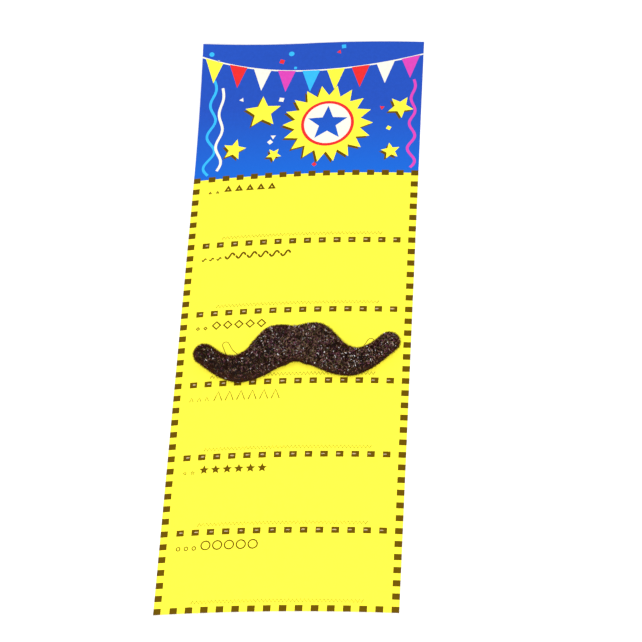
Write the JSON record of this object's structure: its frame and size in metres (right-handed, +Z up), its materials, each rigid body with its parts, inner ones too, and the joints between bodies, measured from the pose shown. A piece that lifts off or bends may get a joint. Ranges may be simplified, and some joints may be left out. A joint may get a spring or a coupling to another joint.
{
  "type": "fake moustache on display card",
  "caption": "Black plush handlebar moustache with a self-adhesive back, stapled to a long bowed display card with perforated tear-off sections and a plain printed header.",
  "frame": {"origin": "on the surface that the card lies on, under the middle of the card", "axes": "+Z up from the printed face, +Y along the card towards its header, +X across the card to the right as the print is read"},
  "size_m": [0.1014, 0.2794, 0.0085],
  "materials": {
    "card_stock": "printed and varnished board, semi-gloss face",
    "release_paper": "smooth coated paper",
    "adhesive": "tacky film",
    "black_plush": "short shiny synthetic pile",
    "staple_steel": "bright drawn wire"
  },
  "bodies": {
    "root": {"display_card": "card_stock", "backing_paper": "release_paper", "adhesive_back": "adhesive", "moustache_plush": "black_plush", "staple": "staple_steel"}
  },
  "joints": []
}
